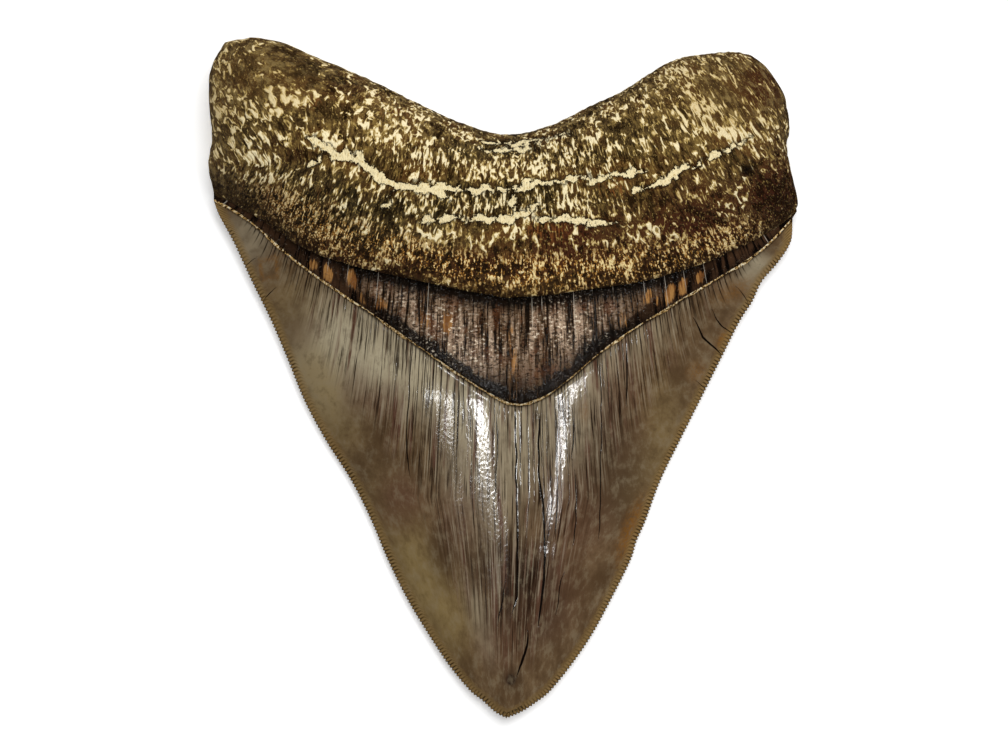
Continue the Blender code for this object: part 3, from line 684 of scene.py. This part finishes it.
def crown_streaking(y, from_edge):
    """How strongly the fibres show: fully in the middle, fading out towards both edges."""
    margin = np.interp(y, FIBRE_LEVELS, FIBRE_MARGINS)
    inward = np.clip((from_edge - margin) / FIBRE_FADE, 0, 1)
    return inward * np.clip((y - FIBRE_TIP_Y) / FIBRE_TIP_FADE, 0, 1)


def crown_splitting(x):
    """How far hairline cracks run down: fully in the middle, and hardly at the sides."""
    return np.clip((SPLIT_REACH - np.abs(x - SPLIT_X)) / SPLIT_FADE, SPLIT_LEAST, 1)


# Hard, glossy enameloid in silvery to brown layers, fibrous in the middle and smooth at the sides.
# Its real fibres are too fine to show, so the threads are drawn about 0.3 mm apart.
enameloid, add, marks, (hair, streak, cloud, mottle, crinkle, ripple) = begin(
    "enameloid",
    "silver tan mauve dusk stain streaking splitting edge run lip crack crack_width",
    (((0.32, 12.0, 8.0), 3.0, 0.6), ((1.3, 22.0, 8.0), 3.0, 0.6), ((4.5, 7.0, 7.0), 3.0, 0.55),
     ((1.6, 2.6, 2.4), 4.0, 0.65), ((0.40, 0.55, 0.5), 2.0, 0.5), ((0.5, 0.7, 0.6), 0.5, 0.5)))
shown = marks["streaking"]
fibre = add("Math MULTIPLY_ADD", hair, 0.8, add("Math MULTIPLY", streak, 0.2))
uneven = add("MapRange", cloud, 0.3, 0.6, 0.65, 1.1)
paint = layered(add, linear("#58432d"), (
    ("#715b41", add("MapRange", cloud, 0.35, 0.65), uneven),
    # Silvery tone, partly painted sheen.
    ("#b3a78b", marks["silver"], uneven),
    ("#8b764d", marks["tan"], uneven),
    ("#5f4033", marks["mauve"], uneven),
    ("#34261c", marks["dusk"], uneven),
    ("#5c3f31", add("MapRange", streak, 0.54, 0.64), shown, uneven),
    ("#94856a", add("MapRange", mottle, 0.50, 0.66, 0.0, 0.35), uneven),
    ("#45321f", add("MapRange", mottle, 0.48, 0.34, 0.0, 0.35), uneven)))

# Hairline cracks: one to a narrow strip of the grain, run down from the enamel line for a chance
# length and fading as they go.
HAIRLINES_PER_MM = 1.1
HAIRLINE_LEAST = 2.0
HAIRLINE_REACH = 36.0
across_fibres = add("SeparateXYZ", marks["grain"])
strip = add("Math MULTIPLY", across_fibres, HAIRLINES_PER_MM)
aside, chance = in_strips(add, add("Math MULTIPLY_ADD", streak, 0.5, strip))
reach = add("Math FRACT", add("Math MULTIPLY", chance, 7.31))
reach = add("Math MULTIPLY", add("Math POWER", reach, 2.0), HAIRLINE_REACH)
reach = add("Math MULTIPLY_ADD", reach, marks["splitting"], HAIRLINE_LEAST)
way_down = add("Math DIVIDE", marks["lip"], reach)
hairline = add("Math MULTIPLY", add("MapRange", aside, 0.15, 0.06),
               add("MapRange", way_down, 1.0, 0.4))
hairline = add("Math MULTIPLY", hairline, add("MapRange", marks["edge"], 3.0, 5.0))

# Dark and light threads, stain, the edge's worn band and dark notches, cracks, and the ragged,
# pale end of the enamel.
from_crack = add("Math ABSOLUTE", marks["crack"])
crack = add("MapRange", add("Math SUBTRACT", from_crack, marks["crack_width"]), 0.05, -0.05)
band = add("Math MULTIPLY_ADD", crinkle, -0.9, marks["edge"])
phase = add("Math COSINE", add("Math MULTIPLY", marks["run"], 2 * math.pi))
at_lip = add("MapRange", summed(add, marks["lip"], (crinkle, 0.9), (cloud, 1.4)), 1.25, 1.17)
paint = layered(add, paint, (
    ("#22150c", add("MapRange", fibre, 0.47, 0.39), shown, 0.95),
    ("#b5a88e", add("MapRange", fibre, 0.54, 0.62), shown, 0.4),
    ("#80541f", marks["stain"], add("MapRange", crinkle, 0.38, 0.58, 0.3, 1.0)),
    ("#96794a", add("MapRange", band, 1.6, 0.4, 0.0, 0.8)),
    ("#35230f", add("MapRange", phase, 0.2, -0.7), add("MapRange", marks["edge"], 1.9, 0.9),
     add("MapRange", cloud, 0.4, 0.6, 0.4, 0.9)),
    ("#1a1009", hairline, 0.85),
    ("#0d0805", crack),
    ("#1d130b", add("MapRange", marks["lip"], 0.50, 0.05, 0.0, 0.9)),
    ("#2b1b0d", at_lip),
    ("#c9a262", at_lip, add("MapRange", crinkle, 0.42, 0.50)),
    ("#f7eccb", at_lip, add("MapRange", crinkle, 0.52, 0.62))))
height = summed(add, ripple, (fibre, add("Math MULTIPLY", shown, 0.4)),
                (add("Math MAXIMUM", crack, hairline), -1.0))
finish(enameloid, paint, add("Bump", 1.0, 0.000018, None, height),
       {"Roughness": 0.12, "IOR": 1.6})


# ======================================== the under face
# The flat labial side, which the tooth lies on. The enamel reaches higher here, in a shallow bow.
# Three worn flats, one under the crown and one under each lobe, touch the ground.
UNDER_COLUMNS = 110
UNDER_ROOT_ROWS = 40
LABIAL_HOLLOW = 1.3  # how far the under face lifts off the ground between its rests
LABIAL_BEVEL_DROP = 0.35  # how far it starts below the cutting edge
LABIAL_NECK_WIDTH = 2.0
LABIAL_TIP_RUN = 9  # the hollow sets in within one part in this many of the crown
HOLLOW_SQUARENESS = 6  # power of its run-out to the crown's edges ...
PAD_SQUARENESS = (10, 7)  # ... and to the root's ends and top
REST_FULLNESS = 1.65  # over 1 the rests are cut flat by the ground
CROWN_REST = (0.0, 0.42)  # a rest's middle, across from -1 to 1 and along from 0 to 1 ...
CROWN_REST_REACH = (0.75, 0.26)  # ... and its reach both ways
LOBE_REST = (0.60, 0.42)
LOBE_REST_REACH = (0.34, 0.42)
UNDER_BUMPS = [(0.35, 3.5, 3.5, 15.5), (0.2, 1.4, 3.0, 11.5)]
under_share, under_across = columns(UNDER_COLUMNS)
under_t = crown_t[::2]
under_root_t = np.sin(np.linspace(0, 1, UNDER_ROOT_ROWS + 1)[:-1] * math.pi / 2)


def floor_height(u, t, middle, reach):
    """Under face round one rest: below the ground within it, where it is later cut flat."""
    rest = REST_FULLNESS - ((u - middle[0]) / reach[0])**2 - ((t - middle[1]) / reach[1])**2
    return LABIAL_HOLLOW * (1 - np.maximum(rest, 0))


def under_rows():
    """Under face. It stops a little inside the rim, all round."""
    u = under_across[None, :]
    plan = blade_plan(labial_line, under_t, under_share)
    t = under_t[:, None]
    level = edge_height(t) - LABIAL_BEVEL_DROP * run_out(t)
    floor = floor_height(u, t, CROWN_REST, CROWN_REST_REACH)
    sink = (1 - u**HOLLOW_SQUARENESS) * np.clip(t * LABIAL_TIP_RUN, 0, 1)
    crown = lifted(plan, np.maximum(level + (floor - level) * sink, 0))

    neck_top = shifted(labial_line, lambda u: LABIAL_NECK_WIDTH + 0 * u)
    plan = patch(neck_top, root_top, left_end, right_end, under_root_t, under_share)
    t = under_root_t[:, None]
    rim = root_rim_height(t, u)
    floor = floor_height(np.abs(u), t, LOBE_REST, LOBE_REST_REACH)
    sink = np.sqrt(1 - u**PAD_SQUARENESS[0]) * np.sqrt(1 - t**PAD_SQUARENESS[1])
    bumps = relief_of(plan[..., 0], plan[..., 1], *UNDER_BUMPS)
    root = lifted(plan, np.maximum(rim + (floor - rim) * sink + bumps * sink, 0))
    return crown, root


# ======================================== the tooth's mesh
# Both faces close on one rim: the serrated edges, the root's rounded ends and its notched top.
# Every point also keeps what the finishes need to know: its tissue, its fibre, and how far it
# lies from the edge, the enamel line, the ledge and the listed cracks and veins.
CROWN, NECK, ROOT = 0, 1, 2
ABOVE, BELOW = 0, 1
SERRATION_DEPTH = 0.32
SERRATION_POINTS = 4
NOTCH_SHARPNESS = 0.8
RIDGE_INSET = 0.5  # a low ridge runs inside the serrations ...
RIDGE_HEIGHT = 0.29  # ... this far above them ...
RIDGE_WAVE = 0.07  # ... and rises and falls with each
NECK_SHARE = 0.1  # share of the rim that the neck takes, past the crown's 1
FAR = 9.0  # a distance at which a finish sees nothing of a line
VEIN_WANDER = [(0.7, 1.6, 1.6, 21.5), (0.9, 1.6, 1.6, 27.5)]
CRACK_WANDER = (0.25, 3.0, 3.0, 33.5)
VEIN_TAPER = 2  # veins narrow over this length to each end ...
VEIN_END = 0.2  # ... down to this share of their width
CRACK_TAPER = 3
CRACK_END = 0.1
CRACK_REACH = 0.9  # past this distance there is no crack
places, zones, sides, runs = [], [], [], []
faces, tissues = [], []


def add_points(points, zone, side, run=1.0):
    """Add points to the mesh and return their numbers. run is their share of the edge."""
    points = np.asarray(points, dtype=float).reshape(-1, 3)
    first = len(places)
    places.extend(points)
    zones.extend([zone] * len(points))
    sides.extend([side] * len(points))
    runs.extend(run * np.ones(len(points)))
    return list(range(first, first + len(points)))


def add_face(corners, tissue, upward):
    """Add a face whose corners run anticlockwise as seen from above."""
    if len(set(corners)) == len(corners):
        faces.append(corners if upward else corners[::-1])
        tissues.append(tissue)


def fill_rows(ids, kinds, upward):
    """Fill between rows of equally many points, with one kind of tissue for each gap."""
    for low, high, kind in zip(ids, ids[1:], kinds):
        for j in range(len(high) - 1):
            if low[j] == low[j + 1]:
                add_face([low[j], high[j + 1], high[j]], kind, upward)
            else:
                add_face([low[j], low[j + 1], high[j + 1], high[j]], kind, upward)


def lace(outer, outer_t, inner, inner_t, upward, tissue_at):
    """Fill between two lines of unequally many points, keeping their shares side by side."""
    i = j = 0
    while i < len(outer) - 1 or j < len(inner) - 1:
        step_outer = j == len(inner) - 1
        if i < len(outer) - 1 and not step_outer:
            step_outer = outer_t[i + 1] <= inner_t[j + 1]
        if step_outer:
            add_face([outer[i], inner[j], outer[i + 1]], tissue_at(outer_t[i]), upward)
            i += 1
        else:
            add_face([outer[i], inner[j], inner[j + 1]], tissue_at(inner_t[j]), upward)
            j += 1


# The rim, from the tip up each side. A serration's cusp is rounded and its notch is sharp.
fine_t = np.linspace(0, 1, SERRATION_POINTS * serrations + 1)
notch_depth = 1 - np.abs(np.cos(math.pi * fine_t * serrations))
notch_depth = SERRATION_DEPTH * notch_depth**NOTCH_SHARPNESS
tip_id = add_points([(*TIP, edge_height(0.0))], CROWN, ABOVE, 0.0)[0]
upper_crown = crown_rows()
upper_neck = bourlette_rows()
upper_root = root_rows()
rim_edges, rim_ends, rings = [], [], []
for edge, inward, column in ((left_edge, -1, 0), (right_edge, 1, -1)):
    inner = inset(edge, 1.0, inward)
    wavy = edge(fine_t) + (inner(fine_t) - edge(fine_t)) * notch_depth[:, None]
    ids = add_points(lifted(wavy, edge_height(fine_t))[1:-1], CROWN, ABOVE, fine_t[1:-1])
    shoulder_id = add_points([upper_crown[-1, column]], CROWN, ABOVE)[0]
    rim_edges.append([tip_id, *ids, shoulder_id])
    rim_ends.append([add_points([row[column]], zone, ABOVE)[0]
                     for rows, zone in ((upper_neck, NECK), (upper_root[:-1], ROOT))
                     for row in rows])
    ridge_t = np.linspace(0, 1, 2 * serrations + 1)[1:-3]
    ridge = inset(edge, RIDGE_INSET, inward)(ridge_t)
    wave = RIDGE_WAVE * np.cos(2 * math.pi * ridge_t * serrations)
    ridge_height = edge_height(ridge_t) + RIDGE_HEIGHT + wave
    rings.append((add_points(lifted(ridge, ridge_height), CROWN, ABOVE, ridge_t), ridge_t))
top_ids = add_points(upper_root[-1], ROOT, ABOVE)

# The upper face: the crown's rows, then the neck's and the root's, whose ends lie on the rim.
crown_ids = [add_points([upper_crown[0, 0]], CROWN, ABOVE, 0.0) * (COLUMNS + 1)]
for row, t in zip(upper_crown[1:-1], crown_t[1:-1]):
    crown_ids.append(add_points(row, CROWN, ABOVE, t))
last_inner = add_points(upper_crown[-1, 1:-1], CROWN, ABOVE)
crown_ids.append([rim_edges[0][-1], *last_inner, rim_edges[1][-1]])
body_ids = []
for i, row in enumerate([*upper_neck, *upper_root[:-1]]):
    inner = add_points(row[1:-1], NECK if i < BOURLETTE_ROWS else ROOT, ABOVE)
    body_ids.append([rim_ends[0][i], *inner, rim_ends[1][i]])
fill_rows(crown_ids + body_ids[:1], [CROWN] * len(crown_ids), True)
fill_rows(body_ids + [top_ids], [NECK] * (BOURLETTE_ROWS - 1) + [ROOT] * ROOT_ROWS, True)
for k, upward in ((0, True), (-1, False)):
    column = [row[k] for row in crown_ids]
    ring, ring_t = rings[k]
    ring = [column[0], *ring, rim_edges[k][-1]]
    ring_t = [0.0, *ring_t, 1.0]
    lace(rim_edges[k], fine_t, ring, ring_t, upward, lambda t: CROWN)
    lace(ring, ring_t, column, crown_t, upward, lambda t: CROWN)

# The under face, laced to the same rim all round. Shares run on past 1 up the neck and the root.
under_crown, under_root = under_rows()
under_ids = [add_points([under_crown[0, 0]], CROWN, BELOW, 0.0) * (UNDER_COLUMNS - 1)]
for row, t in zip(under_crown[1:], under_t[1:]):
    under_ids.append(add_points(row[1:-1], CROWN, BELOW, t))
for i, row in enumerate(under_root):
    under_ids.append(add_points(row[1:-1], NECK if i == 0 else ROOT, BELOW))
gaps = [CROWN] * (len(under_crown) - 1) + [NECK] + [ROOT] * (len(under_root) - 1)
fill_rows(under_ids, gaps, False)
under_side_t = [*under_t, *(1 + NECK_SHARE + under_root_t)]
neck_t = 1.0 + NECK_SHARE * (np.arange(BOURLETTE_ROWS) + 1) / BOURLETTE_ROWS
rim_t = [*fine_t, *neck_t, *(1 + NECK_SHARE + root_t[:-1]), 2 + NECK_SHARE]


def under_tissue(t):
    """Tissue of the lacing at share t of the rim."""
    return CROWN if t < 1 else NECK if t < 1 + 0.8 * NECK_SHARE else ROOT


for k, upward in ((0, False), (-1, True)):
    rim = rim_edges[k] + rim_ends[k] + [top_ids[k]]
    side = [row[k] for row in under_ids]
    lace(rim, rim_t, side, under_side_t, upward, under_tissue)
lace(top_ids, share, under_ids[-1], under_share[1:-1], False, lambda t: ROOT)

places, zones, sides = np.array(places), np.array(zones), np.array(sides)
mesh = bpy.data.meshes.new("megalodon_tooth_finish")
mesh.from_pydata((places * MM).tolist(), [], faces)
mesh.validate()
mesh.polygons.foreach_set("use_smooth", [True] * len(faces))
for material in (enameloid, dentine, bone):
    mesh.materials.append(material)
mesh.polygons.foreach_set("material_index", tissues)


def ellipses(x, y, spots):
    """Soft mask of ellipses, each with its centre, half sizes, strength and turn in degrees.
    The turn may be left out."""
    mask = np.zeros_like(x)
    for at_x, at_y, half_x, half_y, strength, *turn in spots:
        turn = math.radians(sum(turn))
        cos, sin = math.cos(turn), math.sin(turn)
        along, over = (x - at_x) * cos + (y - at_y) * sin, (y - at_y) * cos - (x - at_x) * sin
        mask += strength * np.exp(-((along / half_x)**2 + (over / half_y)**2)**1.5)
    return mask


def nearest_line(x, y, lines):
    """Distance to the nearest line, the side of it, the length left to its nearer end, and
    which line it is."""
    nearest, side = np.full(x.shape, np.inf), np.ones(x.shape)
    to_end, which = np.zeros(x.shape), np.zeros(x.shape, dtype=int)
    for number, line in enumerate(lines):
        line = np.array(line, dtype=float)
        steps = np.linalg.norm(np.diff(line, axis=0), axis=1)
        begun = 0.0
        for a, b, step in zip(line, line[1:], steps):
            way = (b - a) / step
            along = (x - a[0]) * way[0] + (y - a[1]) * way[1]
            over = (x - a[0]) * way[1] - (y - a[1]) * way[0]
            held = np.clip(along, 0, step)
            gap = np.hypot(along - held, over)
            left = np.minimum(begun + held, steps.sum() - begun - held)
            closer = gap < nearest
            nearest = np.where(closer, gap, nearest)
            side = np.where(closer, np.sign(over), side)
            to_end = np.where(closer, left, to_end)
            which = np.where(closer, number, which)
            begun += step
    return nearest, side, to_end, which


# What each point tells the finishes. Veins and cracks wander a little and taper to their ends.
x, y, z = places.T
plan = places[:, :2]
on_top = sides == ABOVE
in_root = zones == ROOT
from_edge = np.minimum(distance(plan, left_edge), distance(plan, right_edge))
from_lip = np.where(on_top, distance(plan, enamel_line), distance(plan, labial_line))
veins, _, to_end, which = nearest_line(x + relief_of(x, y, VEIN_WANDER[0]),
                                       y + relief_of(x, y, VEIN_WANDER[1]), VEINS)
veins -= np.array(VEIN_WIDTHS)[which] / 2 * np.clip(to_end / VEIN_TAPER, VEIN_END, 1)
cracks, side_of, to_end, which = nearest_line(x + relief_of(x, y, CRACK_WANDER), y, CRACKS)
widths = np.array(CRACK_WIDTHS)[which] * np.clip(to_end / CRACK_TAPER, CRACK_END, 1)**0.5
values = {
    "run": np.array(runs) * serrations,
    "edge": np.where(zones == CROWN, from_edge, FAR),
    "lip": np.where(zones == CROWN, 1, -1) * from_lip,
    "ledge": np.where(in_root, 1, -1) * distance(plan, root_ledge),
    "rim": distance(plan, root_top),
    "vein": np.where(on_top, veins, FAR),
    "crack": cracks * side_of,
    "crack_width": np.where(on_top & (cracks < CRACK_REACH), widths, -1.0),
    "streaking": crown_streaking(y, from_edge),
    "splitting": crown_splitting(x),
}
for patches in (ROOT_PATCHES, NECK_PATCHES, CROWN_PATCHES):
    for name, spots in patches.items():
        values[name] = ellipses(x, y, spots) * on_top
for name, value in values.items():
    mesh.attributes.new(name, "FLOAT", "POINT").data.foreach_set("value", value)
across_grain = np.where(in_root, root_grain(x, y), crown_grain(x, y, from_edge))
grain = np.stack([across_grain, y, z], axis=-1)
mesh.attributes.new("grain", "FLOAT_VECTOR", "POINT").data.foreach_set("vector", grain.ravel())
tooth = bpy.data.objects.new("megalodon_tooth_finish", mesh)
bpy.context.collection.objects.link(tooth)
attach(tooth, "root")
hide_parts("megalodon_tooth")


# ======================================== floor, light and camera
# A white matt board under one large softbox. Three small lamps beyond the tip lay the highlights
# on the enameloid. Board, softbox and surroundings are kept out of the reflections, where they
# would veil the dark gloss. The camera looks straight down.
FLOOR_REACH = 3
SENSOR_WIDTH = 36
IMAGE_WIDTH = 1008
CAMERA_HEIGHT = 0.6
PIXEL = 0.00019  # what a pixel spans ...
PIXEL_LEVEL = 0.004  # ... at this height above the board

corners = [(x * FLOOR_REACH, y * FLOOR_REACH, 0) for x, y in ((-1, -1), (1, -1), (1, 1), (-1, 1))]
floor_mesh = bpy.data.meshes.new("floor")
floor_mesh.from_pydata(corners, [], [(0, 1, 2, 3)])
floor = bpy.data.objects.new("floor", floor_mesh)
bpy.context.collection.objects.link(floor)
board = bpy.data.materials.new("white matt board")
board.use_nodes = True
shader = board.node_tree.nodes["Principled BSDF"]
shader.inputs["Base Color"].default_value = (0.9, 0.9, 0.9, 1)
shader.inputs["Roughness"].default_value = 0.9
shader.inputs["Emission Color"].default_value = linear("#ffffff")
shader.inputs["Emission Strength"].default_value = 0.3
floor_mesh.materials.append(board)
floor.visible_glossy = False

world = bpy.data.worlds.new("studio")
world.use_nodes = True
world.node_tree.nodes["Background"].inputs["Color"].default_value = linear("#ffffff")
world.node_tree.nodes["Background"].inputs["Strength"].default_value = 0.1
world.cycles_visibility.glossy = False
bpy.context.scene.world = world
bpy.context.scene.view_settings.view_transform = "Standard"

for name, place, width, length, power, glossy in (
        ("high softbox", (0.15, 0.45, 0.85), 0.7, 0.7, 9.0, False),
        ("left lamp", (-0.124, -0.290, 0.560), 0.075, 0.029, 0.33, True),
        ("right lamp", (0.345, -0.238, 0.475), 0.14, 0.020, 0.36, True),
        ("far left lamp", (-0.315, -0.262, 0.492), 0.06, 0.08, 0.22, True)):
    light = bpy.data.lights.new(name, "AREA")
    light.shape = "RECTANGLE"
    light.size = width
    light.size_y = length
    light.energy = power
    lamp = bpy.data.objects.new(name, light)
    lamp.location = place
    lamp.rotation_euler = (-Vector(place)).to_track_quat("-Z", "Y").to_euler()
    lamp.visible_glossy = glossy
    bpy.context.collection.objects.link(lamp)

camera_data = bpy.data.cameras.new("camera")
camera_data.sensor_width = SENSOR_WIDTH
camera_data.lens = SENSOR_WIDTH * (CAMERA_HEIGHT - PIXEL_LEVEL) / (IMAGE_WIDTH * PIXEL)
camera = bpy.data.objects.new("camera", camera_data)
camera.location = (0.0001, 0.0003, CAMERA_HEIGHT)
bpy.context.collection.objects.link(camera)
bpy.context.scene.camera = camera
